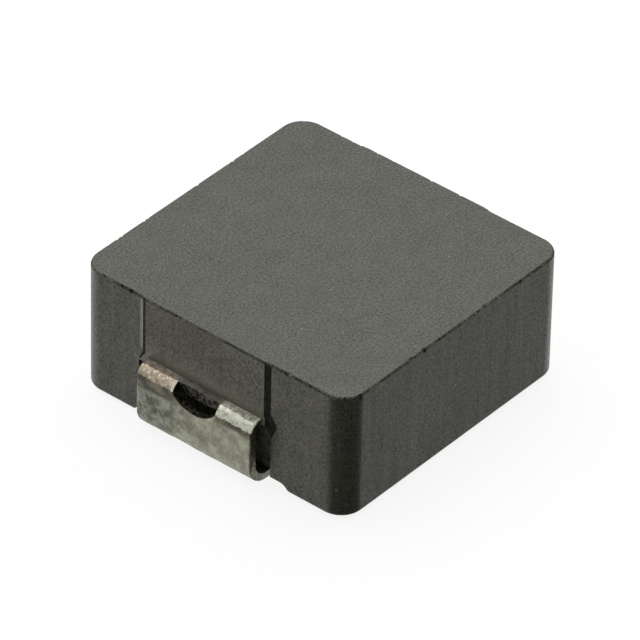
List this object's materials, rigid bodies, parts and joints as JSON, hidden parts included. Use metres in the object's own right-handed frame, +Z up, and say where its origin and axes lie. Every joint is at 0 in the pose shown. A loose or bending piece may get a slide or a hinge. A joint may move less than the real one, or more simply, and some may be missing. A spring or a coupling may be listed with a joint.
{
  "type": "moulded power inductor",
  "caption": "Square moulded power inductor for surface mounting, with a coil inside a pressed powder block and a windowed terminal folded under each end.",
  "frame": {"origin": "under the middle of the body, on the plane of the solder pads", "axes": "+X through the two terminals, +Y across them, +Z up away from the circuit board"},
  "size_m": [0.0072, 0.0066, 0.0029],
  "materials": {
    "pressed_powder": "pressed iron powder in a dark grey resin bond, matte on top and die-polished on the sides",
    "enamelled_copper": "clear enamel on flat copper wire",
    "tinned_copper": "matte tin plate, stained, bright where the bend was worked"
  },
  "bodies": {
    "root": {"moulded_core": "pressed_powder", "winding": "enamelled_copper", "terminal_left": "tinned_copper", "terminal_right": "tinned_copper"}
  },
  "joints": []
}
